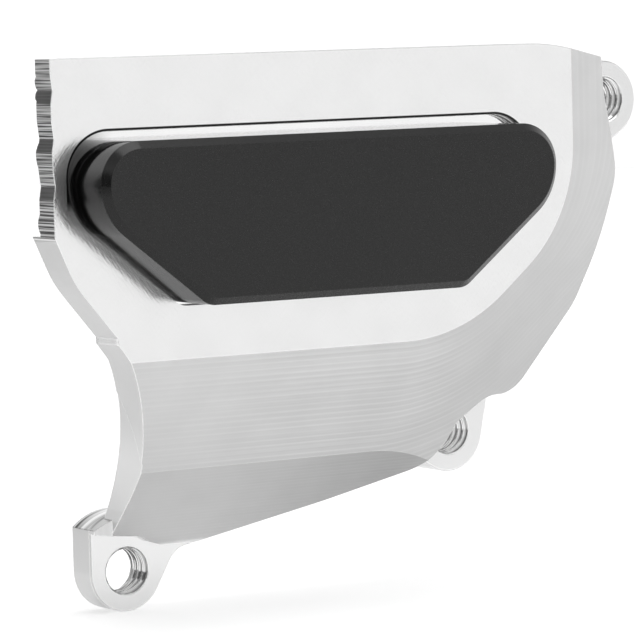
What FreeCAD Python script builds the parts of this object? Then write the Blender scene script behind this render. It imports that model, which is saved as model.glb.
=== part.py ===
import FreeCAD, Part
import math
import os

V = FreeCAD.Vector

# Engine case slider: a guard milled from one aluminium block, with a plastic
# rubbing pad let into its face. X runs along the engine, Y goes into it and
# Z is up. The origin is the axis of the lower lug, on the plane where the
# lugs meet the engine. All sizes are millimetres.

# Depths
face_height = 54.0          # outer face above the mounting plane
lug_thickness = 10.0
shell_thickness = 12.5      # wall under the face
rim_wall = 7.0              # upright wall round the right and bottom edge

# Outer face
face_left = -43.2
face_top = 144.3
face_right = 125.4
face_bottom = 62.6
corner_x = 102.9            # a point on the slanting lower right edge
corner_z = 76.5
corner_angle = 39.0
corner_upper_radius = 45.0
corner_lower_radius = 53.0

# Slopes that fall away from the face: their run for each mm of depth
bottom_run = 1.63
inside_run = 1.54           # the same for the lower slope of the hollow
corner_run = 1.58
side_run = 2.8
slope_round = 1.5           # growth of the corner radii for each mm of depth
foot_height = 30.2          # where the steep foot slope starts
foot_angle = 45.4           # its angle to the face

# Lugs: place, outer radius and the angles where their straight sides start
lower_lug_radius = 11.5     # its place is the origin
lower_lug_angles = (180.0, 330.0)
middle_lug_x = 109.9
middle_lug_z = 30.8
middle_lug_radius = 11.9
middle_lug_angles = (239.0, 348.0)
upper_lug_x = 168.9
upper_lug_z = 126.3
upper_lug_radius = 11.7
upper_lug_angles = (304.0, 450.0)
lug_hole_radius = 7.0
lug_chamfer = 0.5
lug_root_radius = 8.0       # where the lower lug runs into the rim
lower_clearance = 10.2      # room in front of the lower lug
lower_clearance_rise = 1.2
lower_flare_angle = 51.0    # the clearance runs out from here to the foot's edge
lower_flare_x = 11.2
lower_flare_z = 6.4
web_at_wall = 5.4           # web from the cut wall onto the lower lug: its height
web_at_edge = 2.6           # over the lug's front, at the wall and at the lug's edge
lower_boss_radius = 17.0    # solid ground round the lower hole
lower_boss_angle = 60.0     # where its arc enters the rim
middle_clearance = 12.4     # room in front of the middle lug
middle_left_run = 18.0      # straight sides of the middle lug, into the rim
middle_right_run = 29.0
middle_inner_angles = (75.0, 140.0)
upper_root_run = 34.0       # straight lower side of the upper lug
upper_root_radius = 10.0
upper_root_foot = 80.0      # height where that lug dies into the rim

# Cut left edge, with its saw teeth
notch_count = 3
top_tooth = 8.3             # height of the tooth above the first notch
tooth_pitch = 12.7
tooth_depth = 0.6
tooth_flank = 3.5           # run of the short side of a tooth
tooth_land = 4.5            # flat tip of a tooth
teeth_height = 47.1         # from the top to the bottom of the lowest tooth
left_shoulder_x = -37.5
left_shoulder_z = 84.3
left_shoulder_radius = 30.0
left_step_x = -24.9
left_step_z = 67.5
left_step_height = 1.7
waist_x = -7.5
waist_z = 45.2
waist_radius = 78.0
witness_step = 0.3          # step on the cut wall where two passes meet
witness_depth = 18.4        # its depth below the face
end_thickness = 8.0         # plate at the toothed end
end_width = 9.0
lobe_height = 1.1
lobes = ((6.5, 3.6), (9.6, 3.0), (25.4, 6.6), (43.7, 5.0))   # below the top, chord

# Rim, seen along the depth; the corners near a lug are measured from it
top_bend_x = 116.8
top_bend_radius = 60.0
rim_top_x = 139.8
rim_top_z = 139.8
rim_waist = (-28.3, 3.2, 30.0)      # from the upper lug: across, up, radius
rim_side = (-22.0, -20.3, 14.0)     # from the upper lug
rim_turn_x = 137.3
rim_turn_z = 68.5
rim_turn_radius = 14.0
rim_nose = (8.4, 12.2, 12.0)        # from the middle lug
rim_heel = (-13.4, 5.6, 2.5)        # from the middle lug
rim_toe = (-17.8, -6.0, 17.0)       # from the middle lug
rim_bend_x = 60.0
rim_bend_z = 15.4
rim_bend_radius = 200.0
rim_foot_x = 21.3
rim_foot_z = 5.7
rim_foot_radius = 30.0

# Recess and pad; the pad's edges are measured from those of the face
recess_depth = 3.5
pad_height = 16.0           # pad above the face
pad_chamfer = 2.0
pad_from_left = 6.6
pad_from_right = 16.0
pad_from_top = 22.0
pad_from_bottom = 15.1
pad_left_inset = 31.7       # its lower corners, from its ends
pad_right_inset = 31.8
pad_shoulder_drop = 19.7    # its two outer corners, below its top
pad_end_radius = 11.5
pad_shoulder_radius = 17.0
pad_foot_radius = 6.0
gap_top = 2.5
gap_left = 2.2
gap_right = 1.1
gap_bottom = 0.8

# Screws that hold the pad from behind
screw_inset = 28.0          # outer screws, from the pad's ends
screw_drop = 18.3           # outer screws, below the pad's top
middle_screw_drop = 28.3
screw_radius = 1.5
screw_length = 16.0
screw_head_radius = 2.75
screw_head_height = 3.0
screw_head_chamfer = 0.3
screw_socket = 2.5          # across the flats
screw_socket_depth = 1.6
screw_clearance = 0.2
head_clearance = 0.4
thread_clearance = 0.05
thread_runout = 2.0         # hole past the screw's tip
counterbore_depth = 3.4

face_y = -face_height
lug_y = -lug_thickness
back_y = face_y + shell_thickness
end_y = face_y + end_thickness
recess_y = face_y + recess_depth
pad_y = face_y - pad_height
counterbore_y = back_y - counterbore_depth
lower_lug = (0.0, 0.0, lower_lug_radius) + lower_lug_angles
middle_lug = (middle_lug_x, middle_lug_z, middle_lug_radius) + middle_lug_angles
upper_lug = (upper_lug_x, upper_lug_z, upper_lug_radius) + upper_lug_angles
tooth_end = face_top - teeth_height
pad_left = face_left + pad_from_left
pad_right = face_right - pad_from_right
pad_top = face_top - pad_from_top
pad_bottom = face_bottom + pad_from_bottom
screws = (
    ("pad_screw_left", pad_left + screw_inset, pad_top - screw_drop),
    ("pad_screw_middle", (pad_left + pad_right) / 2, pad_top - middle_screw_drop),
    ("pad_screw_right", pad_right - screw_inset, pad_top - screw_drop),
)
reach = 200.0               # how far the large cutting tools reach
past = 1.0                  # how far a cut runs past the face that it opens
on_plane = 0.001            # an edge this near a plane lies in it
no_length = 0.000001        # two points this near each other are one


def outline(corners, y):
    """Closed wire at depth y; each corner is x, z and its radius."""
    count = len(corners)
    points = [V(x, y, z) for x, z, radius in corners]
    sides = [points[(i + 1) % count] - points[i] for i in range(count)]
    halves = []
    runs = []
    for i in range(count):
        half = (sides[i - 1] * -1).getAngle(sides[i]) / 2
        halves.append(half)
        runs.append(corners[i][2] / math.tan(half))
    # A rounding is limited by the sides that it has to fit on
    limits = list(runs)
    for i in range(count):
        following = (i + 1) % count
        wanted = runs[i] + runs[following]
        share = min(1.0, sides[i].Length / wanted) if wanted > 0 else 1.0
        limits[i] = min(limits[i], runs[i] * share)
        limits[following] = min(limits[following], runs[following] * share)
    edges = []
    last = None
    first = None
    for i in range(count):
        back = V(sides[i - 1]) * -1
        ahead = V(sides[i])
        back.normalize()
        ahead.normalize()
        start = points[i] + back * limits[i]
        end = points[i] + ahead * limits[i]
        if last is not None and last.distanceToPoint(start) > no_length:
            edges.append(Part.makeLine(last, start))
        if limits[i] > 0:
            radius = limits[i] * math.tan(halves[i])
            inward = back + ahead
            inward.normalize()
            middle = points[i] + inward * (radius / math.sin(halves[i]) - radius)
            edges.append(Part.Arc(start, middle, end).toShape())
        if first is None:
            first = start
        last = end
    if last.distanceToPoint(first) > no_length:
        edges.append(Part.makeLine(last, first))
    return Part.Wire(edges)


def prism(corners, y_start, y_end):
    face = Part.Face(outline(corners, y_start))
    return face.extrude(V(0, y_end - y_start, 0))


def rod(x, z, radius, y_start, y_end):
    return Part.makeCylinder(radius, y_end - y_start, V(x, y_start, z), V(0, 1, 0))


def crossing(point, heading, other, other_heading):
    """Where two straight lines in the face's plane meet."""
    cross = heading[0] * other_heading[1] - heading[1] * other_heading[0]
    dx = other[0] - point[0]
    dz = other[1] - point[1]
    along = (dx * other_heading[1] - dz * other_heading[0]) / cross
    return (point[0] + heading[0] * along, point[1] + heading[1] * along)


def tangent_heading(centre, radius, point, side):
    """Direction from a point to the circle that it is tangent to."""
    dx = centre[0] - point[0]
    dz = centre[1] - point[1]
    turn = math.asin(radius / math.hypot(dx, dz)) * side
    angle = math.atan2(dz, dx) + turn
    return (math.cos(angle), math.sin(angle))


def slope_profile(depth, run):
    """Section of the sloping sides at a depth; run is that of the lower side."""
    right = face_right + side_run * depth
    bottom = face_bottom - run * depth
    lean = math.radians(corner_angle)
    edge_x = corner_x + corner_run * depth * math.sin(lean)
    edge_z = corner_z - corner_run * depth * math.cos(lean)
    upper_z = edge_z + (right - edge_x) * math.tan(lean)
    lower_x = edge_x - (edge_z - bottom) / math.tan(lean)
    grow = slope_round * depth
    return [
        (-reach, reach, 0),
        (right, reach, 0),
        (right, upper_z, corner_upper_radius + grow),
        (lower_x, bottom, corner_lower_radius + grow),
        (-reach, bottom, 0),
    ]


def slopes(y_start, run):
    """Everything behind the face and its slopes, or behind those of the inside."""
    depth = face_height + shell_thickness
    top = outline(slope_profile(0, run), y_start)
    base = outline(slope_profile(depth, run), y_start + depth)
    return Part.makeLoft([top, base], True, True)


def foot_wedge():
    """What is milled off below the lower slope, so that the foot is steeper."""
    crease_y = face_y + (face_bottom - foot_height) / bottom_run
    drop = reach / math.tan(math.radians(foot_angle))
    corners = [
        V(-reach, crease_y, foot_height),
        V(-reach, crease_y + reach, foot_height - drop),
        V(-reach, crease_y - reach, foot_height - drop),
        V(-reach, crease_y - reach, foot_height),
    ]
    wedge = Part.Face(Part.makePolygon(corners + corners[:1]))
    return wedge.extrude(V(3 * reach, 0, 0))


def teeth():
    """Saw-tooth corners of the left end, from the bottom upwards."""
    corners = [(face_left, tooth_end, 0)]
    for i in reversed(range(notch_count)):
        notch = face_top - top_tooth - tooth_pitch * i
        rise = tooth_pitch - tooth_flank - tooth_land
        corners.append((face_left, notch - tooth_flank, 0))
        corners.append((face_left + tooth_depth, notch, 0))
        corners.append((face_left, notch + rise, 0))
    return corners


def left_side(shift):
    """Corners of the cut left wall, from the bottom up to the teeth."""
    return [
        (waist_x + shift, waist_z, waist_radius),
        (left_step_x + shift, left_step_z, 0),
        (left_step_x + shift, left_step_z + left_step_height, 0),
        (left_shoulder_x + shift, left_shoulder_z, left_shoulder_radius),
    ]


def from_lug(lug, offset):
    return (lug[0] + offset[0], lug[1] + offset[1], offset[2])


def rim():
    """Corners of the right and bottom edge, from the top right round."""
    side = from_lug(upper_lug, rim_side)
    nose = from_lug(middle_lug, rim_nose)
    heel = from_lug(middle_lug, rim_heel)
    toe = from_lug(middle_lug, rim_toe)
    nose_heading = tangent_heading(middle_lug, middle_clearance, nose, -1)
    heel_heading = tangent_heading(middle_lug, middle_clearance, heel, 1)
    notch = crossing(nose, nose_heading, heel, heel_heading)
    return [
        (top_bend_x, face_top, top_bend_radius),
        (rim_top_x, rim_top_z, 0),
        from_lug(upper_lug, rim_waist),
        side,
        (rim_turn_x, rim_turn_z, rim_turn_radius),
        nose,
        (notch[0], notch[1], middle_clearance),
        heel,
        toe,
        (rim_bend_x, rim_bend_z, rim_bend_radius),
        (rim_foot_x, rim_foot_z, rim_foot_radius),
    ]


def block():
    """The solid block with its sloping outside, before it is hollowed."""
    corners = [(face_left, face_top, 0)]
    corners += rim()
    corners += [(waist_x, rim_foot_z, 0)]
    corners += left_side(0)
    corners += teeth()
    shape = prism(corners, face_y, 0).common(slopes(face_y, bottom_run))
    shape = shape.cut(foot_wedge())
    # A second pass on the cut left wall leaves a fine step
    below = rim_foot_z - witness_step
    strip = [(waist_x + witness_step, below, 0)]
    strip += left_side(witness_step)
    strip += [
        (face_left + witness_step, tooth_end, 0),
        (-reach, tooth_end, 0),
        (-reach, below, 0),
    ]
    return shape.cut(prism(strip, face_y + witness_depth, past))


def hollow():
    """Room for the engine's own cover, open at the back, the top and the left."""
    corners = [(-reach, reach, 0), (rim_top_x, reach, 0)]
    corners += rim()[1:]
    corners += [(-reach, rim_foot_z, 0)]
    inside = outline(corners, past).makeOffset2D(-rim_wall)
    room = Part.Face(inside).extrude(V(0, face_y - past, 0))
    room = room.common(slopes(back_y, inside_run))
    boss = rod(lower_lug[0], lower_lug[1], lower_boss_radius, face_y, past)
    return room.cut(boss)


def lug_arc(x, z, radius, first, last, first_run=0.0, last_run=0.0):
    """Corners of an arc between two angles, with its tangents drawn out."""
    first = math.radians(first)
    last = math.radians(last)
    middle = (first + last) / 2
    tip = radius / math.cos((last - first) / 2)
    return [
        (
            x + radius * math.cos(first) + first_run * math.sin(first),
            z + radius * math.sin(first) - first_run * math.cos(first),
            0,
        ),
        (x + tip * math.cos(middle), z + tip * math.sin(middle), radius),
        (
            x + radius * math.cos(last) - last_run * math.sin(last),
            z + radius * math.sin(last) + last_run * math.cos(last),
            0,
        ),
    ]


def lug_plate(corners, chamfer_top):
    """A lug, with its front edges broken up to a given height."""
    plate = prism(corners, lug_y, 0)
    edges = []
    for edge in plate.Edges:
        if edge.BoundBox.YMax < lug_y + on_plane and edge.CenterOfMass.z < chamfer_top:
            edges.append(edge)
    return plate.makeChamfer(lug_chamfer, edges)


def lower_plate():
    x, z, radius, first, last = lower_lug
    lean = math.radians(last)
    run = (rim_foot_z - z - radius * math.sin(lean)) / math.cos(lean)
    shoulder = 180 - math.degrees(math.acos(radius / lower_boss_radius))
    corners = lug_arc(x, z, lower_boss_radius, lower_boss_angle, shoulder)
    corners += lug_arc(x, z, radius, first, last, 0, run)
    root = corners.pop()
    corners += [(root[0], root[1], lug_root_radius)]
    corners += [(rim_foot_x, rim_foot_z, 0)]
    return lug_plate(corners, z + lower_clearance)


def lower_web():
    """Web at the foot of the cut wall, where it runs onto the lower lug."""
    x, z, radius, first, last = lower_lug
    edge = x - radius
    wall = waist_x + witness_step
    corners = [
        V(edge, lug_y, z),
        V(edge, lug_y - web_at_edge, z),
        V(wall, lug_y - web_at_wall, z),
        V(wall, lug_y, z),
    ]
    web = Part.Face(Part.makePolygon(corners + corners[:1]))
    disc = rod(x, z, lower_boss_radius, lug_y - web_at_wall, lug_y)
    return web.extrude(V(0, 0, lower_boss_radius)).common(disc)


def lower_room():
    """Space that is milled away in front of the lower lug, out to the left."""
    x, z, radius, first, last = lower_lug
    edge = x - radius - lug_chamfer
    slot = [
        (x, z - lower_clearance, 0),
        (x, z + lower_clearance, 0),
        (edge, z + lower_clearance + lower_clearance_rise, 0),
        (edge, z - lower_clearance, 0),
    ]
    turn = math.radians(lower_flare_angle)
    flare = [
        (x, z, 0),
        (x + lower_flare_x, z + lower_flare_z, 0),
        (x + lower_clearance * math.cos(turn), z + lower_clearance * math.sin(turn), 0),
    ]
    room = rod(x, z, lower_clearance, face_y, lug_y)
    return room.fuse([prism(slot, face_y, lug_y), prism(flare, face_y, lug_y)])


def middle_plate():
    x, z, radius, first, last = middle_lug
    runs = (middle_left_run, middle_right_run)
    corners = lug_arc(x, z, radius, first, last, *runs)
    inner = middle_clearance + rim_wall / 2
    for angle in middle_inner_angles:
        turn = math.radians(angle)
        corners.append((x + inner * math.cos(turn), z + inner * math.sin(turn), 0))
    return lug_plate(corners, reach)


def upper_plate():
    x, z, radius, first, last = upper_lug
    run = x - rim_top_x + rim_wall / 2
    corners = lug_arc(x, z, radius, first, last, upper_root_run, run)
    root = corners[0]
    corners[0] = (root[0], root[1], upper_root_radius)
    corners.append((rim_turn_x, upper_root_foot, 0))
    return lug_plate(corners, reach)


def end_rebate():
    """The toothed end is thinner, and its back keeps half-round lobes."""
    start = V(-reach, end_y, tooth_end)
    width = reach + face_left + end_width
    rebate = Part.makeBox(width, past - end_y, reach - tooth_end, start)
    for drop, chord in lobes:
        radius = (chord * chord / 4 + lobe_height * lobe_height) / (2 * lobe_height)
        axis = V(-reach, end_y + lobe_height - radius, face_top - drop)
        rebate = rebate.cut(Part.makeCylinder(radius, width, axis, V(1, 0, 0)))
    return rebate


def pad_corners(gaps):
    """Outline of the pad, or with gaps = 1 that of the recess round it."""
    left = pad_left - gap_left * gaps
    right = pad_right + gap_right * gaps
    top = pad_top + gap_top * gaps
    bottom = pad_bottom - gap_bottom * gaps
    slant = gap_bottom / 2 * gaps
    shoulder = pad_top - pad_shoulder_drop - slant
    grow = gap_right * gaps
    return [
        (left, top, pad_end_radius + grow),
        (left, shoulder, pad_shoulder_radius + grow),
        (pad_left + pad_left_inset - slant, bottom, pad_foot_radius),
        (pad_right - pad_right_inset + slant, bottom, pad_foot_radius),
        (right, shoulder, pad_shoulder_radius + grow),
        (right, top, pad_end_radius + grow),
    ]


def cover():
    shape = block().fuse(lower_web())
    shape = shape.cut(lower_room())
    for plate in (lower_plate(), middle_plate(), upper_plate()):
        shape = shape.fuse(plate)
    shape = shape.cut(hollow()).cut(end_rebate())
    for lug in (lower_lug, middle_lug, upper_lug):
        shape = shape.cut(rod(lug[0], lug[1], lug_hole_radius, face_y, past))
    shape = shape.cut(prism(pad_corners(1), face_y - past, recess_y))
    for name, x, z in screws:
        seat = screw_head_radius + head_clearance
        hole = screw_radius + screw_clearance
        shape = shape.cut(rod(x, z, seat, counterbore_y, past))
        shape = shape.cut(rod(x, z, hole, face_y, past))
    return shape.removeSplitter()


def slider_pad():
    pad = prism(pad_corners(0), pad_y, recess_y)
    front = [edge for edge in pad.Edges if edge.BoundBox.YMax < pad_y + on_plane]
    pad = pad.makeChamfer(pad_chamfer, front)
    tip = counterbore_y - screw_length - thread_runout
    for name, x, z in screws:
        pad = pad.cut(rod(x, z, screw_radius + thread_clearance, tip, recess_y + past))
    return pad


def pad_screw(x, z):
    """Cap screw, put in from the back of the cover."""
    back = counterbore_y + screw_head_height
    head = rod(x, z, screw_head_radius, counterbore_y, back)
    rear = [edge for edge in head.Edges if edge.BoundBox.YMin > back - on_plane]
    head = head.makeChamfer(screw_head_chamfer, rear)
    shank = rod(x, z, screw_radius, counterbore_y - screw_length, counterbore_y)
    corners = []
    flats = 6
    across = screw_socket / 2 / math.cos(math.pi / flats)
    for i in range(flats):
        turn = 2 * math.pi * i / flats
        corners.append((x + across * math.cos(turn), z + across * math.sin(turn), 0))
    socket = prism(corners, back - screw_socket_depth, back)
    return head.fuse(shank).cut(socket).removeSplitter()


os.makedirs("parts", exist_ok=True)
cover().exportStep("parts/cover.step")
slider_pad().exportStep("parts/slider_pad.step")
for name, x, z in screws:
    pad_screw(x, z).exportStep("parts/" + name + ".step")
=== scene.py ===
import bpy
import bmesh
import math
from mathutils import Matrix, Vector


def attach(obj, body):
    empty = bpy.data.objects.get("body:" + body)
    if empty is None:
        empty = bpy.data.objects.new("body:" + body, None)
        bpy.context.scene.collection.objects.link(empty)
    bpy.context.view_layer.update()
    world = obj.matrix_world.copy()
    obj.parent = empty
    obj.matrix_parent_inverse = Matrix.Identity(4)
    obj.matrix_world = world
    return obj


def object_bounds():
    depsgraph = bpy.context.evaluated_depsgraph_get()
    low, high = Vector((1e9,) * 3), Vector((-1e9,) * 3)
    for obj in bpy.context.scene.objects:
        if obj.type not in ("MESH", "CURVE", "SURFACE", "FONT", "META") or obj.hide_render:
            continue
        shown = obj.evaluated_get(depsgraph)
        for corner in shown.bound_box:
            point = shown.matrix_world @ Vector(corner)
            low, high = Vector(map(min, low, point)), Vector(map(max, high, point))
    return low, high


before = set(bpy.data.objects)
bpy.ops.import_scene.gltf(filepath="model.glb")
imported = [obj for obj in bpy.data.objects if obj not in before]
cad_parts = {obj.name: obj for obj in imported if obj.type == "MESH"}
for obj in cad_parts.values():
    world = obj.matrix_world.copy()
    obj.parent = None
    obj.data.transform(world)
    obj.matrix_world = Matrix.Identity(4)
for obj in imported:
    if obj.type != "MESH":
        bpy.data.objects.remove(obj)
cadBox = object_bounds()
print("frame loaded")

mm = 0.001

# The camera stands where the photograph was taken, square picture, long lens
cameraSettings = {
    "place": (-0.543931, -0.982750, 0.154137),
    "yaw": 32.0959,             # degrees to the right of +Y
    "pitch": 4.3696,            # degrees down
    "roll": 1.5588,             # degrees, picture turned anticlockwise
    "lens": 225.0,
    "sensor": 36.0,
}


def makeCamera(settings):
    yaw = math.radians(settings["yaw"])
    pitch = math.radians(settings["pitch"])
    roll = math.radians(settings["roll"])
    ahead = Vector((math.sin(yaw) * math.cos(pitch), math.cos(yaw) * math.cos(pitch), -math.sin(pitch)))
    right = Vector((math.cos(yaw), -math.sin(yaw), 0))
    up = right.cross(ahead)
    cameraX = right * math.cos(roll) - up * math.sin(roll)
    cameraY = right * math.sin(roll) + up * math.cos(roll)
    data = bpy.data.cameras.new("photoCamera")
    data.lens = settings["lens"]
    data.sensor_width = settings["sensor"]
    data.sensor_height = settings["sensor"]
    data.clip_start = 0.05
    data.clip_end = 50
    camera = bpy.data.objects.new("photoCamera", data)
    rows = Matrix((cameraX, cameraY, -ahead)).transposed().to_4x4()
    camera.matrix_world = Matrix.Translation(settings["place"]) @ rows
    bpy.context.scene.collection.objects.link(camera)
    bpy.context.scene.camera = camera


makeCamera(cameraSettings)
bpy.context.scene.view_settings.view_transform = "Standard"
print("camera placed")


# Small helpers for node trees: a value may be a number or another node's output
def feed(tree, socket, value):
    if isinstance(value, bpy.types.NodeSocket):
        tree.links.new(value, socket)
    else:
        socket.default_value = value


def calculate(tree, operation, *values):
    node = tree.nodes.new("ShaderNodeMath")
    node.operation = operation
    for socket, value in zip(node.inputs, values):
        feed(tree, socket, value)
    return node.outputs[0]


def product(tree, first, *others):
    result = first
    for other in others:
        result = calculate(tree, "MULTIPLY", result, other)
    return result


def ramp(tree, value, low, high, start=0.0, end=1.0):
    node = tree.nodes.new("ShaderNodeMapRange")
    node.interpolation_type = "SMOOTHSTEP"
    feed(tree, node.inputs["Value"], value)
    node.inputs["From Min"].default_value = low
    node.inputs["From Max"].default_value = high
    node.inputs["To Min"].default_value = start
    node.inputs["To Max"].default_value = end
    return node.outputs["Result"]


def blend(tree, factor, first, second):
    node = tree.nodes.new("ShaderNodeMix")
    feed(tree, node.inputs[0], factor)
    feed(tree, node.inputs[2], first)
    feed(tree, node.inputs[3], second)
    return node.outputs[0]


def grey(tree, value):
    node = tree.nodes.new("ShaderNodeCombineColor")
    for channel in node.inputs:
        feed(tree, channel, value)
    return node.outputs["Color"]


def split(tree, vector):
    node = tree.nodes.new("ShaderNodeSeparateXYZ")
    tree.links.new(vector, node.inputs["Vector"])
    return node.outputs


def stretchedNoise(tree, vector, turn, scale, detail=2.0):
    mapping = tree.nodes.new("ShaderNodeMapping")
    mapping.vector_type = "TEXTURE"     # the pattern is stretched first, then turned
    mapping.inputs["Rotation"].default_value = [math.radians(angle) for angle in turn]
    mapping.inputs["Scale"].default_value = [1 / share for share in scale]
    tree.links.new(vector, mapping.inputs["Vector"])
    noise = tree.nodes.new("ShaderNodeTexNoise")
    noise.inputs["Scale"].default_value = 1.0
    noise.inputs["Detail"].default_value = detail
    tree.links.new(mapping.outputs["Vector"], noise.inputs["Vector"])
    return noise.outputs["Fac"]


def makeMaterial(name):
    material = bpy.data.materials.new(name)
    material.use_nodes = True
    tree = material.node_tree
    return material, tree, tree.nodes["Principled BSDF"]


def placeGroup(tree, group, **values):
    node = tree.nodes.new("ShaderNodeGroup")
    node.node_tree = group
    for name, value in values.items():
        feed(tree, node.inputs[name], value)
    return node.outputs


# Studio: pale floor that runs up into a low rim, bright room, and two grey panels and a mat that
# are seen only where the metal mirrors them
studioSettings = {
    "floorRadius": 3.0,
    "floorRise": 0.36,
    "floorSides": 96,
    "riseSteps": 8,
    "floorColour": 0.90,
    "floorRoughness": 0.9,
    "floorGlow": 0.40,          # for camera, glossy and transmission rays alone
    "roomStrength": 1.0,
    "roomTop": 0.5,             # brightness overhead, as a share
    "roomFade": (0.35, 0.9),    # upward part of the direction where it sets in
    "panelTone": 0.18,
    "panelRoughness": 0.9,
    "panels": {                 # azimuth in degrees, distance, width, foot and top above the floor
        "panelBehind": (122.0, 1.2, 1.0, 2 * mm, 0.9),
        "panelBeside": (205.0, 0.9, 0.7, 2 * mm, 0.5),
    },
    "mat": (122.0, 0.36, 1.19, 0.5),    # azimuth, near end, far end, width
    "matLift": 1 * mm,
    "lampPower": 26.0,
    "lampSize": 2.2,
    "lampPlace": (0.3, -0.5, 3.0),
    "lampAim": (0.06, -0.03, 0.07),
}


def makeFloor(settings, lowest):
    build = bmesh.new()
    rise = settings["floorRise"]
    sides = settings["floorSides"]
    topReflectionBands = []
    for step in range(settings["riseSteps"] + 1):
        turn = math.radians(90) * step / settings["riseSteps"]
        radius = settings["floorRadius"] + rise * math.sin(turn)
        height = lowest + rise * (1 - math.cos(turn))
        ring = []
        for side in range(sides):
            turn = 2 * math.pi * side / sides
            ring.append(build.verts.new((radius * math.cos(turn), radius * math.sin(turn), height)))
        topReflectionBands.append(ring)
    build.faces.new(topReflectionBands[0])
    for lower, upper in zip(topReflectionBands, topReflectionBands[1:]):
        for side in range(sides):
            after = (side + 1) % sides
            build.faces.new((lower[side], lower[after], upper[after], upper[side]))
    mesh = bpy.data.meshes.new("floor")
    build.to_mesh(mesh)
    build.free()
    for face in mesh.polygons:
        face.use_smooth = face.index > 0
    floor = bpy.data.objects.new("floor", mesh)
    bpy.context.scene.collection.objects.link(floor)
    material, tree, shader = makeMaterial("paleFloor")
    tone = settings["floorColour"]
    shader.inputs["Base Color"].default_value = (tone, tone, tone, 1)
    shader.inputs["Roughness"].default_value = settings["floorRoughness"]
    shader.inputs["Specular IOR Level"].default_value = 0.0
    path = tree.nodes.new("ShaderNodeLightPath")
    seen = calculate(tree, "MAXIMUM", path.outputs["Is Camera Ray"], path.outputs["Is Glossy Ray"])
    seen = calculate(tree, "MAXIMUM", seen, path.outputs["Is Transmission Ray"])
    shader.inputs["Emission Color"].default_value = (1, 1, 1, 1)
    feed(tree, shader.inputs["Emission Strength"], product(tree, seen, settings["floorGlow"]))
    mesh.materials.append(material)


def makeCard(name, corners, material):
    mesh = bpy.data.meshes.new(name)
    mesh.from_pydata(corners, [], [(0, 1, 2, 3)])
    mesh.materials.append(material)
    card = bpy.data.objects.new(name, mesh)
    card.visible_camera = False     # seen in reflections alone
    bpy.context.scene.collection.objects.link(card)


def makePanels(settings, lowest):
    material, tree, shader = makeMaterial("greyCloth")
    tone = settings["panelTone"]
    shader.inputs["Base Color"].default_value = (tone, tone, tone, 1)
    shader.inputs["Roughness"].default_value = settings["panelRoughness"]
    shader.inputs["Specular IOR Level"].default_value = 0.0

    def outward(azimuth, width):
        turn = math.radians(azimuth)
        ahead = Vector((math.cos(turn), math.sin(turn), 0))
        return ahead, Vector((-math.sin(turn), math.cos(turn), 0)) * width / 2

    for name, (azimuth, distance, width, low, high) in settings["panels"].items():
        ahead, across = outward(azimuth, width)
        foot = ahead * distance + Vector((0, 0, lowest + low))
        top = ahead * distance + Vector((0, 0, lowest + high))
        makeCard(name, [foot - across, foot + across, top + across, top - across], material)
    azimuth, near, far, width = settings["mat"]
    ahead, across = outward(azimuth, width)
    level = Vector((0, 0, lowest + settings["matLift"]))
    nearEnd = level + ahead * near
    farEnd = level + ahead * far
    makeCard("greyMat", [nearEnd - across, nearEnd + across, farEnd + across, farEnd - across], material)


def makeRoom(settings):
    world = bpy.data.worlds.new("studio")
    bpy.context.scene.world = world
    world.use_nodes = True
    tree = world.node_tree
    background = tree.nodes["Background"]
    coordinate = tree.nodes.new("ShaderNodeTexCoord")
    axes = split(tree, coordinate.outputs["Generated"])
    overhead = ramp(tree, axes["Z"], *settings["roomFade"], 1.0, settings["roomTop"])
    tree.links.new(grey(tree, overhead), background.inputs["Color"])
    background.inputs["Strength"].default_value = settings["roomStrength"]

    lampData = bpy.data.lights.new("softLamp", "AREA")
    lampData.energy = settings["lampPower"]
    lampData.size = settings["lampSize"]
    lamp = bpy.data.objects.new("softLamp", lampData)
    lamp.location = settings["lampPlace"]
    aim = Vector(settings["lampAim"]) - lamp.location
    lamp.rotation_euler = aim.to_track_quat("-Z", "Y").to_euler()
    bpy.context.scene.collection.objects.link(lamp)


makeFloor(studioSettings, cadBox[0][2])
makePanels(studioSettings, cadBox[0][2])
makeRoom(studioSettings)
print("studio made")


# Edges: their rounded normal, and where a highlight is painted on them
edgeSamples = 4
highlightEnds = (0.08, 0.5)          # how far the normal is rounded where the painted highlight starts and where it is full


def makeEdgeGroup():
    group = bpy.data.node_groups.new("edgeHighlight", "ShaderNodeTree")
    radius = group.interface.new_socket("Radius", in_out="INPUT", socket_type="NodeSocketFloat")
    radius.default_value = 0.3 * mm
    group.interface.new_socket("Mask", in_out="OUTPUT", socket_type="NodeSocketFloat")
    group.interface.new_socket("Normal", in_out="OUTPUT", socket_type="NodeSocketVector")
    enter = group.nodes.new("NodeGroupInput")
    leave = group.nodes.new("NodeGroupOutput")
    bevel = group.nodes.new("ShaderNodeBevel")
    bevel.samples = edgeSamples
    group.links.new(enter.outputs["Radius"], bevel.inputs["Radius"])
    geometry = group.nodes.new("ShaderNodeNewGeometry")
    apart = group.nodes.new("ShaderNodeVectorMath")
    apart.operation = "DISTANCE"
    group.links.new(bevel.outputs["Normal"], apart.inputs[0])
    group.links.new(geometry.outputs["Normal"], apart.inputs[1])
    group.links.new(ramp(group, apart.outputs["Value"], *highlightEnds), leave.inputs["Mask"])
    group.links.new(bevel.outputs["Normal"], leave.inputs["Normal"])
    return group


# Grain: fine speckle and wide, faint patches
grainDetail = 3.0
grainSpreads = {"Speckle": 1.0, "Patches": 40.0}    # in grain sizes
noiseEnds = (0.3, 0.7)          # nearly all of a noise lies between


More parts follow.
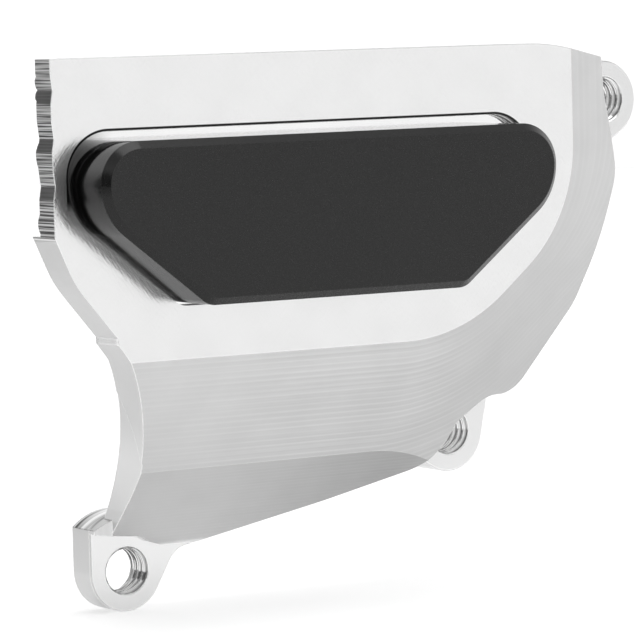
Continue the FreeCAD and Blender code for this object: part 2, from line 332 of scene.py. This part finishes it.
def makeGrainGroup():
    group = bpy.data.node_groups.new("fineGrain", "ShaderNodeTree")
    size = group.interface.new_socket("Size", in_out="INPUT", socket_type="NodeSocketFloat")
    size.default_value = 0.4 * mm
    group.interface.new_socket("Speckle", in_out="OUTPUT", socket_type="NodeSocketFloat")
    group.interface.new_socket("Patches", in_out="OUTPUT", socket_type="NodeSocketFloat")
    enter = group.nodes.new("NodeGroupInput")
    leave = group.nodes.new("NodeGroupOutput")
    coordinate = group.nodes.new("ShaderNodeTexCoord")
    for name, spread in grainSpreads.items():
        noise = group.nodes.new("ShaderNodeTexNoise")
        noise.inputs["Detail"].default_value = grainDetail
        wide = calculate(group, "MULTIPLY", enter.outputs["Size"], spread)
        feed(group, noise.inputs["Scale"], calculate(group, "DIVIDE", 1.0, wide))
        group.links.new(coordinate.outputs["Object"], noise.inputs["Vector"])
        group.links.new(noise.outputs["Fac"], leave.inputs[name])
    return group


edgeHighlight = makeEdgeGroup()
fineGrain = makeGrainGroup()

# Milled aluminium of the cover; places and lengths are metres, as in the frame. Of two tones, the
# first holds up to the first of the two ends and the second past the other.
coverSettings = {
    "faceTones": (0.69, 0.735),
    "faceEnds": (50 * mm, 110 * mm),        # up the face
    "lugTones": (0.75, 0.66),
    "lugEnds": (8 * mm, 25 * mm),           # from the lower lug to the other two
    "recessShadeTones": (0.30, 0.80),
    "recessEnds": (-34 * mm, -22 * mm),     # painted shade at the left end of the recess floor
    # Painted shade and finish: the band, the right side, the foot and the cut walls are darker than the face,
    # partly for their duller milled surface and partly as painted shade for the darker room and floor they
    # mirror
    "bandTones": (0.60, 0.52),
    "bandEnds": (0 * mm, 110 * mm),         # along the sloping band
    "sideTones": (0.46, 0.57),
    "sideEnds": (45 * mm, 140 * mm),        # up the right side
    # painted shade: the foot darkens to the right, where it mirrors the shadowed floor under the part
    "footShadeTones": (0.55, 0.37),
    "footEnds": (10 * mm, 85 * mm),
    "wallTones": (0.64, 0.51),
    "wallEnds": (30 * mm, 50 * mm),         # up the cut left wall
    "lugWallTone": 0.58,
    "otherTone": 0.76,
    "gapPadReflectionTone": 0.06,                        # painted reflection of the black pad on the end walls of the recess, which face it
    "streakTone": 0.80,                     # painted highlight, a light streak halfway down its right wall
    "streakDepth": -52.25 * mm,
    "streakEnds": (0.3 * mm, 0.7 * mm),
    # painted highlight and shade: the chatter ribs of the teeth are made light and dark in colour
    "ribShadingTones": (0.08, 1.0),
    "ribContrast": (0.38, 0.62),
    "flankShadeTones": (0.105, 0.195),           # painted shade on the short flanks of the teeth
    "lugTopReflectionTones": (0.05, 1.0),               # painted reflection bands on the turned top of the lower lug
    "lugTopReflectionContrast": (0.35, 0.6),
    # painted highlight on the edges
    "edgeHighlightTone": 0.95,
    "patchTone": 0.01,
    "faceRoughness": 0.18,
    "recessRoughness": 0.06,
    "slopeRoughness": 0.30,
    "teethRoughness": 0.30,
    "edgeRoughness": 0.10,
    "backRoughness": 0.10,                  # added on the back
    "teethMetallic": 0.25,                  # a dull skin of chatter marks
    "edgeRadius": 0.45 * mm,
    "ledgeRadius": 3.0 * mm,                # the narrow step in the cut wall is rounded off
    "grainSize": 0.35 * mm,
    "grainHeight": 0.0015 * mm,
}

# Where the parts of the cover lie and which way they face: a part's mask is empty at the first
# value and full at the second. Facing is one component of the normal.
zoneSettings = {
    "flatFacing": (-0.985, -0.995),
    "slopeFacing": (-0.52, -0.6),
    "slopeNotFlat": (-0.985, -0.97),
    "slopeFront": (-10.2 * mm, -11.2 * mm), # in front of the lugs
    "footFacing": (-0.6, -0.68),
    "sideFacing": (0.05, 0.3),
    "backFacing": (0.4, 0.6),
    "wallFacing": (-0.3, -0.5),
    "recessFront": (-53 * mm, -52 * mm),
    "recessBack": (-45 * mm, -46 * mm),
    "lugDepth": (-12 * mm, -10.5 * mm),
    "teethFacing": (-0.7, -0.8),
    "teethLeft": (-41 * mm, -42 * mm),
    "teethBottom": (95.2 * mm, 97.2 * mm),
    "flankFacing": (0.10, 0.14),
    "ledgeFacing": (-0.95, -0.99),
    "ledgeBottom": (65 * mm, 66 * mm),
    "ledgeTop": (71 * mm, 70 * mm),
    "gapDepth": (-50 * mm, -50.5 * mm),
    "leftGapFacing": (0.2, 0.5),
    "leftGapEnd": (-20 * mm, -25 * mm),
    "rightGapFacing": (-0.05, -0.2),
    "rightGapEnd": (55 * mm, 60 * mm),
    "lugTopFacing": (0.2, 0.3),
    "lugTopRight": (2 * mm, 0 * mm),
    "lugTopLow": (8 * mm, 9 * mm),
    "lugTopHigh": (18 * mm, 17 * mm),
    "lugTopFront": (-10.6 * mm, -10.2 * mm),
}


def findZones(tree, settings, axes, normal):
    x, y, z = axes
    nx, ny, nz = normal
    zones = {
        "flat": ramp(tree, ny, *settings["flatFacing"]),
        "back": ramp(tree, ny, *settings["backFacing"]),
        "wall": ramp(tree, nx, *settings["wallFacing"]),
        "lug": ramp(tree, y, *settings["lugDepth"]),
    }
    slope = product(tree, ramp(tree, ny, *settings["slopeFacing"]),
                    ramp(tree, ny, *settings["slopeNotFlat"]), ramp(tree, y, *settings["slopeFront"]))
    zones["slope"] = slope
    zones["foot"] = product(tree, slope, ramp(tree, nz, *settings["footFacing"]))
    zones["side"] = product(tree, slope, ramp(tree, nx, *settings["sideFacing"]))
    zones["recess"] = product(tree, zones["flat"], ramp(tree, y, *settings["recessFront"]),
                              ramp(tree, y, *settings["recessBack"]))
    zones["teeth"] = product(tree, ramp(tree, nx, *settings["teethFacing"]),
                             ramp(tree, x, *settings["teethLeft"]), ramp(tree, z, *settings["teethBottom"]))
    zones["flank"] = product(tree, zones["teeth"], ramp(tree, nz, *settings["flankFacing"]))
    zones["ledge"] = product(tree, ramp(tree, nx, *settings["ledgeFacing"]),
                             ramp(tree, z, *settings["ledgeBottom"]), ramp(tree, z, *settings["ledgeTop"]))
    inGap = ramp(tree, y, *settings["gapDepth"])
    zones["leftGap"] = product(tree, ramp(tree, nx, *settings["leftGapFacing"]),
                               ramp(tree, x, *settings["leftGapEnd"]), inGap)
    zones["rightGap"] = product(tree, ramp(tree, nx, *settings["rightGapFacing"]),
                                ramp(tree, x, *settings["rightGapEnd"]), inGap)
    zones["lugTop"] = product(tree, ramp(tree, nz, *settings["lugTopFacing"]),
                              ramp(tree, x, *settings["lugTopRight"]), ramp(tree, z, *settings["lugTopLow"]),
                              ramp(tree, z, *settings["lugTopHigh"]), ramp(tree, y, *settings["lugTopFront"]))
    return zones


# The pad's recess: a painted reflection of the black pad on its rounded lip, and no painted edge highlight
# round it
rimSettings = {
    "ends": (-38.8 * mm, 110.5 * mm),
    "top": 124.8 * mm,
    "radius": 12.6 * mm,
    "lipPadReflectionTone": 0.02,                        # painted reflection of the black pad
    "lipWidths": (0.42 * mm, 0.62 * mm),    # at the ends and along the top
    "lipSoftness": 0.08 * mm,
    "lipBottom": (103 * mm, 107 * mm),
    "faceDepth": (-53 * mm, -53.5 * mm),
    "rimReach": (1.5 * mm, 1.0 * mm),
    "rimBottom": (70 * mm, 76 * mm),
}


def findRim(tree, settings, axes, flat):
    x, y, z = axes
    left, right = settings["ends"]
    radius = settings["radius"]
    cornerX = (right - left) / 2 - radius
    cornerZ = settings["top"] - radius
    offCentre = calculate(tree, "ABSOLUTE", calculate(tree, "SUBTRACT", x, (left + right) / 2))
    aside = calculate(tree, "MAXIMUM", calculate(tree, "SUBTRACT", offCentre, cornerX), 0.0)
    above = calculate(tree, "MAXIMUM", calculate(tree, "SUBTRACT", z, cornerZ), 0.0)
    squares = calculate(tree, "MULTIPLY_ADD", aside, aside, calculate(tree, "MULTIPLY", above, above))
    outside = calculate(tree, "SUBTRACT", calculate(tree, "SQRT", squares), radius)     # from its outline
    width = ramp(tree, z, cornerZ, settings["top"], *settings["lipWidths"])
    spare = calculate(tree, "SUBTRACT", width, outside)
    front = product(tree, flat, ramp(tree, y, *settings["faceDepth"]))
    lip = product(tree, front, ramp(tree, spare, -settings["lipSoftness"], settings["lipSoftness"]),
                  ramp(tree, z, *settings["lipBottom"]))
    rim = product(tree, front, ramp(tree, outside, *settings["rimReach"]),
                  ramp(tree, z, *settings["rimBottom"]))
    return lip, rim


# Passes of the cutter on the slopes, one below the other, and the finer marks elsewhere
markSettings = {
    "passDepth": 1.0 * mm,
    "passHeight": 0.03 * mm,
    "passShadingTone": 0.045,                      # painted highlight on the ridge between two passes, painted shade in the hollow of each
    "passVariety": (0.7, 1.3),
    "ridgeEnds": (0.1, 0.9),
    "passFade": (-10 * mm, 45 * mm),        # fainter at the left
    "passStrengths": (0.4, 1.0),
    "footStrength": 0.4,
    "sideStrength": 0.3,
    "streakScale": (6, 2300, 6),            # fine streaks along the passes, per metre
    "streakTone": 0.0175,
    "crossTurn": 34.0,                      # degrees between the crossed marks and the upright
    "crossScale": (1900, 1900, 420),
    "crossHeight": 0.014 * mm,
    "ribTurn": 3.0,
    "ribScale": (100, 20, 2300),
    "ribHeight": 0.03 * mm,
    "topReflectionScale": (20, 600, 20),
}


def makeMarks(tree, settings, place, axes, zones):
    x, y, z = axes
    count = calculate(tree, "DIVIDE", y, settings["passDepth"])
    centred = calculate(tree, "MULTIPLY_ADD", calculate(tree, "FRACT", count), 2.0, -1.0)
    scallop = calculate(tree, "POWER", calculate(tree, "ABSOLUTE", centred), 2.0)
    pick = tree.nodes.new("ShaderNodeTexWhiteNoise")
    pick.noise_dimensions = "1D"
    feed(tree, pick.inputs["W"], calculate(tree, "FLOOR", count))
    strength = product(tree, zones["slope"],
                       ramp(tree, x, *settings["passFade"], *settings["passStrengths"]),
                       ramp(tree, zones["foot"], 0, 1, 1.0, settings["footStrength"]),
                       ramp(tree, zones["side"], 0, 1, 1.0, settings["sideStrength"]))
    # painted highlight on the ridges and painted shade in the hollows of the passes
    ridgeShading = product(tree, ramp(tree, scallop, *settings["ridgeEnds"], -0.5, 0.5), settings["passShadingTone"],
                     ramp(tree, pick.outputs["Value"], 0, 1, *settings["passVariety"]))
    streaks = stretchedNoise(tree, place, (0, 0, 0), settings["streakScale"], 2.0)
    streaks = ramp(tree, streaks, *noiseEnds, -settings["streakTone"], settings["streakTone"])
    turn = settings["crossTurn"]
    first = stretchedNoise(tree, place, (0, turn, 0), settings["crossScale"], 1.0)
    second = stretchedNoise(tree, place, (0, -turn, 0), settings["crossScale"], 1.0)
    crossed = product(tree, calculate(tree, "ADD", first, second), zones["flat"],
                      ramp(tree, zones["recess"], 0, 1, 1.0, 0.0), settings["crossHeight"])
    ribs = stretchedNoise(tree, place, (0, settings["ribTurn"], 0), settings["ribScale"], 2.0)
    height = calculate(tree, "ADD", product(tree, scallop, strength, settings["passHeight"]), crossed)
    height = calculate(tree, "ADD", height, product(tree, ribs, zones["teeth"], settings["ribHeight"]))
    return {
        "height": height,
        "lines": product(tree, calculate(tree, "ADD", streaks, ridgeShading), strength),
        "ribs": ribs,
        "topReflectionBands": stretchedNoise(tree, place, (0, 0, 0), settings["topReflectionScale"], 1.0),
    }


def makeCoverTone(tree, settings, axes, zones, marks):
    x, y, z = axes
    face = ramp(tree, z, *settings["faceEnds"], *settings["faceTones"])
    lug = ramp(tree, z, *settings["lugEnds"], *settings["lugTones"])
    recess = ramp(tree, x, *settings["recessEnds"], *settings["recessShadeTones"])
    band = ramp(tree, x, *settings["bandEnds"], *settings["bandTones"])
    side = ramp(tree, z, *settings["sideEnds"], *settings["sideTones"])
    foot = ramp(tree, x, *settings["footEnds"], *settings["footShadeTones"])
    wall = ramp(tree, z, *settings["wallEnds"], *settings["wallTones"])
    # painted highlight: a light line halfway down the right end wall of the recess
    offStreak = calculate(tree, "ABSOLUTE", calculate(tree, "SUBTRACT", y, settings["streakDepth"]))
    streak = ramp(tree, offStreak, *settings["streakEnds"], settings["streakTone"], settings["gapPadReflectionTone"])

    tone = blend(tree, zones["flat"], settings["otherTone"], face)
    tone = blend(tree, product(tree, zones["flat"], zones["lug"]), tone, lug)
    # painted shade at the left end of the recess floor
    tone = blend(tree, zones["recess"], tone, recess)
    # band, side, foot and walls: duller finish and painted shade
    tone = blend(tree, zones["slope"], tone, blend(tree, zones["side"], band, side))
    tone = blend(tree, zones["foot"], tone, foot)
    tone = blend(tree, zones["wall"], tone, blend(tree, zones["lug"], wall, settings["lugWallTone"]))
    # painted reflection of the black pad on the end walls of the recess
    tone = blend(tree, zones["leftGap"], tone, settings["gapPadReflectionTone"])
    tone = blend(tree, zones["rightGap"], tone, streak)
    # painted highlight and shade on the ribs of the teeth, and painted shade on their short flanks
    ribs = ramp(tree, marks["ribs"], *settings["ribContrast"], *settings["ribShadingTones"])
    tone = blend(tree, zones["teeth"], tone, ribs)
    flank = ramp(tree, marks["ribs"], *noiseEnds, *settings["flankShadeTones"])
    tone = blend(tree, zones["flank"], tone, flank)
    tone = calculate(tree, "ADD", tone, marks["lines"])
    # painted reflection bands on the top of the lower lug
    topReflectionBands = ramp(tree, marks["topReflectionBands"], *settings["lugTopReflectionContrast"], *settings["lugTopReflectionTones"])
    return blend(tree, zones["lugTop"], tone, topReflectionBands)


def makeCoverMetal(settings):
    material, tree, shader = makeMaterial("milledAluminium")
    place = tree.nodes.new("ShaderNodeTexCoord").outputs["Object"]
    axes = list(split(tree, place))
    plain = tree.nodes.new("ShaderNodeNewGeometry").outputs["Normal"]
    zones = findZones(tree, zoneSettings, axes, list(split(tree, plain)))
    lip, rim = findRim(tree, rimSettings, axes, zones["flat"])
    marks = makeMarks(tree, markSettings, place, axes, zones)
    grain = placeGroup(tree, fineGrain, Size=settings["grainSize"])
    radius = blend(tree, zones["ledge"], settings["edgeRadius"], settings["ledgeRadius"])
    edge = placeGroup(tree, edgeHighlight, Radius=radius)

    # The rim of the recess keeps its plain normal, every other edge gets the rounded one
    settle = tree.nodes.new("ShaderNodeMix")
    settle.data_type = "VECTOR"
    feed(tree, settle.inputs[0], rim)
    feed(tree, settle.inputs[4], edge["Normal"])
    feed(tree, settle.inputs[5], plain)
    bump = tree.nodes.new("ShaderNodeBump")
    bump.inputs["Distance"].default_value = 1.0
    height = calculate(tree, "MULTIPLY_ADD", grain["Speckle"], settings["grainHeight"], marks["height"])
    feed(tree, bump.inputs["Height"], height)
    feed(tree, bump.inputs["Normal"], settle.outputs[1])
    feed(tree, shader.inputs["Normal"], bump.outputs["Normal"])

    tone = makeCoverTone(tree, settings, axes, zones, marks)
    patches = ramp(tree, grain["Patches"], *noiseEnds, -settings["patchTone"], settings["patchTone"])
    tone = calculate(tree, "ADD", tone, patches)
    # painted highlight along the edges, but not round the rim of the recess
    highlit = product(tree, edge["Mask"], ramp(tree, rim, 0, 1, 1.0, 0.0))
    tone = blend(tree, highlit, tone, settings["edgeHighlightTone"])
    # painted reflection of the black pad on the recess's lip
    tone = blend(tree, lip, tone, rimSettings["lipPadReflectionTone"])
    feed(tree, shader.inputs["Base Color"], grey(tree, tone))

    rough = blend(tree, zones["flat"], settings["slopeRoughness"], settings["faceRoughness"])
    rough = blend(tree, zones["recess"], rough, settings["recessRoughness"])
    rough = blend(tree, zones["teeth"], rough, settings["teethRoughness"])
    rough = calculate(tree, "ADD", rough, ramp(tree, zones["back"], 0, 1, 0, settings["backRoughness"]))
    rough = blend(tree, edge["Mask"], rough, settings["edgeRoughness"])
    feed(tree, shader.inputs["Roughness"], rough)
    feed(tree, shader.inputs["Metallic"], ramp(tree, zones["teeth"], 0, 1, 1.0, settings["teethMetallic"]))
    return material


# Black pad: machined plastic, satin on its face; two values are for its lower sides and its top
padSettings = {
    "tone": 0.003,
    "edgeHighlightTone": 0.015,
    "toneVariety": (0.85, 1.15),
    "roughness": 0.28,
    "sideRoughnesses": (0.20, 0.07),
    "roughnessVariety": (-0.02, 0.03),
    "specular": 0.385,
    "sideSpeculars": (0.24, 0.90),
    "frontFacing": (-0.5, -0.8),
    "topFacing": (0.0, 0.5),
    "edgeRadius": 0.35 * mm,
    "grainSize": 0.5 * mm,
    "grainHeight": 0.0008 * mm,
}


def makePadPlastic(settings):
    material, tree, shader = makeMaterial("padPlastic")
    grain = placeGroup(tree, fineGrain, Size=settings["grainSize"])
    edge = placeGroup(tree, edgeHighlight, Radius=settings["edgeRadius"])
    # painted highlight: the pad's edges are a little lighter
    tone = blend(tree, edge["Mask"], settings["tone"], settings["edgeHighlightTone"])
    tone = product(tree, tone, ramp(tree, grain["Patches"], *noiseEnds, *settings["toneVariety"]))
    feed(tree, shader.inputs["Base Color"], grey(tree, tone))
    normal = split(tree, tree.nodes.new("ShaderNodeNewGeometry").outputs["Normal"])
    front = ramp(tree, normal["Y"], *settings["frontFacing"])
    rough = ramp(tree, normal["Z"], *settings["topFacing"], *settings["sideRoughnesses"])
    rough = blend(tree, front, rough, settings["roughness"])
    variety = ramp(tree, grain["Speckle"], *noiseEnds, *settings["roughnessVariety"])
    feed(tree, shader.inputs["Roughness"], calculate(tree, "ADD", rough, variety))
    shine = ramp(tree, normal["Z"], *settings["topFacing"], *settings["sideSpeculars"])
    shine = blend(tree, front, shine, settings["specular"])
    shader.inputs["Specular IOR Level"].default_value = settings["specular"]
    feed(tree, shader.inputs["Specular IOR Level"], shine)
    bump = tree.nodes.new("ShaderNodeBump")
    bump.inputs["Distance"].default_value = 1.0
    feed(tree, bump.inputs["Height"], product(tree, grain["Speckle"], settings["grainHeight"]))
    feed(tree, bump.inputs["Normal"], edge["Normal"])
    feed(tree, shader.inputs["Normal"], bump.outputs["Normal"])
    return material


# Steel of the hidden screws
screwSettings = {
    "tone": 0.42,
    "edgeHighlightTone": 0.6,
    "roughnesses": (0.27, 0.37),
    "edgeRadius": 0.12 * mm,
    "grainSize": 0.15 * mm,
}


def makeScrewSteel(settings):
    material, tree, shader = makeMaterial("screwSteel")
    grain = placeGroup(tree, fineGrain, Size=settings["grainSize"])
    edge = placeGroup(tree, edgeHighlight, Radius=settings["edgeRadius"])
    # painted highlight: the screws' edges are lighter
    tone = blend(tree, edge["Mask"], settings["tone"], settings["edgeHighlightTone"])
    feed(tree, shader.inputs["Base Color"], grey(tree, tone))
    feed(tree, shader.inputs["Roughness"], ramp(tree, grain["Speckle"], *noiseEnds, *settings["roughnesses"]))
    shader.inputs["Metallic"].default_value = 1.0
    feed(tree, shader.inputs["Normal"], edge["Normal"])
    return material


coverMetal = makeCoverMetal(coverSettings)
padPlastic = makePadPlastic(padSettings)
screwSteel = makeScrewSteel(screwSettings)
for name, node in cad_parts.items():
    material = coverMetal
    if name == "slider_pad":
        material = padPlastic
    elif name.startswith("pad_screw"):
        material = screwSteel
    for slot in node.material_slots:
        slot.material = material
    if not node.material_slots:
        node.data.materials.append(material)
print("cover, pad and screws finished")

# Threads in the three lugs: one closed sleeve in each hole
threadSettings = {
    "holes": ((0.0, 0.0), (109.9, 30.8), (168.9, 126.3)),
    "bore": 6.995 * mm,
    "root": 6.90 * mm,
    "crest": 6.15 * mm,
    "pitch": 2.7 * mm,
    "length": 10.0 * mm,
    "around": 96,
    "rows": 161,
    "flankEnds": (0.06, 0.44),          # parts of a pitch from the crest to the root
    "runOut": (0.3 * mm, 1.0 * mm),     # near its ends the root gets no painted shade
    "weldGap": 0.001 * mm,
    "tones": (0.86, 0.30),              # crest, and the root with painted shade
    "toneEnds": (0.1, 1.0),
    "toneVariety": (0.92, 1.08),
    "roughnesses": (0.07, 0.15),
    "grainSize": 0.2 * mm,
}


def makeThreadMetal(settings):
    material, tree, shader = makeMaterial("threadMetal")
    grain = placeGroup(tree, fineGrain, Size=settings["grainSize"])
    depth = tree.nodes.new("ShaderNodeAttribute")
    depth.attribute_name = "threadDepth"
    # painted shade: the roots of the thread are darker than its crests
    tone = ramp(tree, depth.outputs["Fac"], *settings["toneEnds"], *settings["tones"])
    tone = product(tree, tone, ramp(tree, grain["Patches"], *noiseEnds, *settings["toneVariety"]))
    feed(tree, shader.inputs["Base Color"], grey(tree, tone))
    feed(tree, shader.inputs["Roughness"], ramp(tree, grain["Speckle"], *noiseEnds, *settings["roughnesses"]))
    shader.inputs["Metallic"].default_value = 1.0
    return material


def makeThreadTree(settings):
    tree = bpy.data.node_groups.new("threadSleeve", "GeometryNodeTree")
    kinds = {
        "Bore": "Float", "Root": "Float", "Crest": "Float", "Pitch": "Float", "Length": "Float",
        "Around": "Int", "Rows": "Int", "Finish": "Material",
    }
    tree.interface.new_socket("Holes", in_out="INPUT", socket_type="NodeSocketGeometry")
    for name, kind in kinds.items():
        tree.interface.new_socket(name, in_out="INPUT", socket_type="NodeSocket" + kind)
    tree.interface.new_socket("Sleeves", in_out="OUTPUT", socket_type="NodeSocketGeometry")
    enter = tree.nodes.new("NodeGroupInput").outputs
    leave = tree.nodes.new("NodeGroupOutput")

    grid = tree.nodes.new("GeometryNodeMeshGrid")
    grid.inputs["Size X"].default_value = 1.0
    grid.inputs["Size Y"].default_value = 1.0
    feed(tree, grid.inputs["Vertices X"], enter["Around"])
    feed(tree, grid.inputs["Vertices Y"], enter["Rows"])

    # The grid's X runs round the hole, its Y up the outer wall and back down the thread
    place = split(tree, tree.nodes.new("GeometryNodeInputPosition").outputs["Position"])
    share = calculate(tree, "ADD", place["X"], 0.5)
    angle = calculate(tree, "MULTIPLY", share, 2 * math.pi)
    travel = calculate(tree, "MULTIPLY", place["Y"], 2.0)
    depth = product(tree, calculate(tree, "ABSOLUTE", travel), enter["Length"])
    toEnd = calculate(tree, "MINIMUM", depth, calculate(tree, "SUBTRACT", enter["Length"], depth))
    turns = calculate(tree, "SUBTRACT", share, calculate(tree, "DIVIDE", depth, enter["Pitch"]))
    wave = calculate(tree, "PINGPONG", turns, 0.5)
    flank = ramp(tree, wave, *settings["flankEnds"])
    thread = blend(tree, flank, enter["Crest"], enter["Root"])
    cut = product(tree, flank, ramp(tree, toEnd, *settings["runOut"]))
    thread = calculate(tree, "MAXIMUM", thread, calculate(tree, "SUBTRACT", enter["Bore"], toEnd))
    onThread = calculate(tree, "GREATER_THAN", travel, 0.0)
    radius = blend(tree, onThread, enter["Bore"], thread)
    joined = tree.nodes.new("ShaderNodeCombineXYZ")
    feed(tree, joined.inputs["X"], product(tree, radius, calculate(tree, "COSINE", angle)))
    feed(tree, joined.inputs["Y"], product(tree, depth, -1.0))
    feed(tree, joined.inputs["Z"], product(tree, radius, calculate(tree, "SINE", angle)))
    # depth into the thread, which the material turns into painted shade
    keep = tree.nodes.new("GeometryNodeStoreNamedAttribute")
    keep.data_type = "FLOAT"
    keep.domain = "POINT"
    keep.inputs["Name"].default_value = "threadDepth"
    feed(tree, keep.inputs["Geometry"], grid.outputs["Mesh"])
    feed(tree, keep.inputs["Value"], cut)
    wrap = tree.nodes.new("GeometryNodeSetPosition")
    feed(tree, wrap.inputs["Geometry"], keep.outputs["Geometry"])
    feed(tree, wrap.inputs["Position"], joined.outputs["Vector"])
    close = tree.nodes.new("GeometryNodeMergeByDistance")
    feed(tree, close.inputs["Geometry"], wrap.outputs["Geometry"])
    close.inputs["Distance"].default_value = settings["weldGap"]

    spread = tree.nodes.new("GeometryNodeInstanceOnPoints")
    feed(tree, spread.inputs["Points"], enter["Holes"])
    feed(tree, spread.inputs["Instance"], close.outputs["Geometry"])
    realize = tree.nodes.new("GeometryNodeRealizeInstances")
    feed(tree, realize.inputs["Geometry"], spread.outputs["Instances"])
    finish = tree.nodes.new("GeometryNodeSetMaterial")
    feed(tree, finish.inputs["Geometry"], realize.outputs["Geometry"])
    feed(tree, finish.inputs["Material"], enter["Finish"])
    feed(tree, leave.inputs["Sleeves"], finish.outputs["Geometry"])
    return tree


def applyTree(name, tree, mesh, values):
    source = bpy.data.objects.new(name + "Source", mesh)
    bpy.context.scene.collection.objects.link(source)
    modifier = source.modifiers.new("make", "NODES")
    modifier.node_group = tree
    for item in tree.interface.items_tree:
        if item.in_out == "INPUT" and item.name in values:
            modifier[item.identifier] = values[item.name]
    bpy.context.view_layer.update()
    evaluated = source.evaluated_get(bpy.context.evaluated_depsgraph_get())
    result = bpy.data.meshes.new_from_object(evaluated)
    source.modifiers.remove(modifier)
    bpy.data.objects.remove(source)
    result.name = name
    piece = bpy.data.objects.new(name, result)
    bpy.context.scene.collection.objects.link(piece)
    return piece


def makeThreads(settings):
    points = bpy.data.meshes.new("lugHoles")
    points.from_pydata([(x * mm, 0, z * mm) for x, z in settings["holes"]], [], [])
    values = {
        "Bore": settings["bore"],
        "Root": settings["root"],
        "Crest": settings["crest"],
        "Pitch": settings["pitch"],
        "Length": settings["length"],
        "Around": settings["around"] + 1,
        "Rows": settings["rows"],
        "Finish": makeThreadMetal(settings),
    }
    piece = applyTree("lugThreads", makeThreadTree(settings), points, values)
    build = bmesh.new()
    build.from_mesh(piece.data)
    bmesh.ops.recalc_face_normals(build, faces=build.faces)
    for face in build.faces:
        face.smooth = True
    build.to_mesh(piece.data)
    print("threads:", len(build.faces), "faces, volume", round(build.calc_volume(signed=True) / mm ** 3, 1))
    build.free()
    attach(piece, "root")


makeThreads(threadSettings)
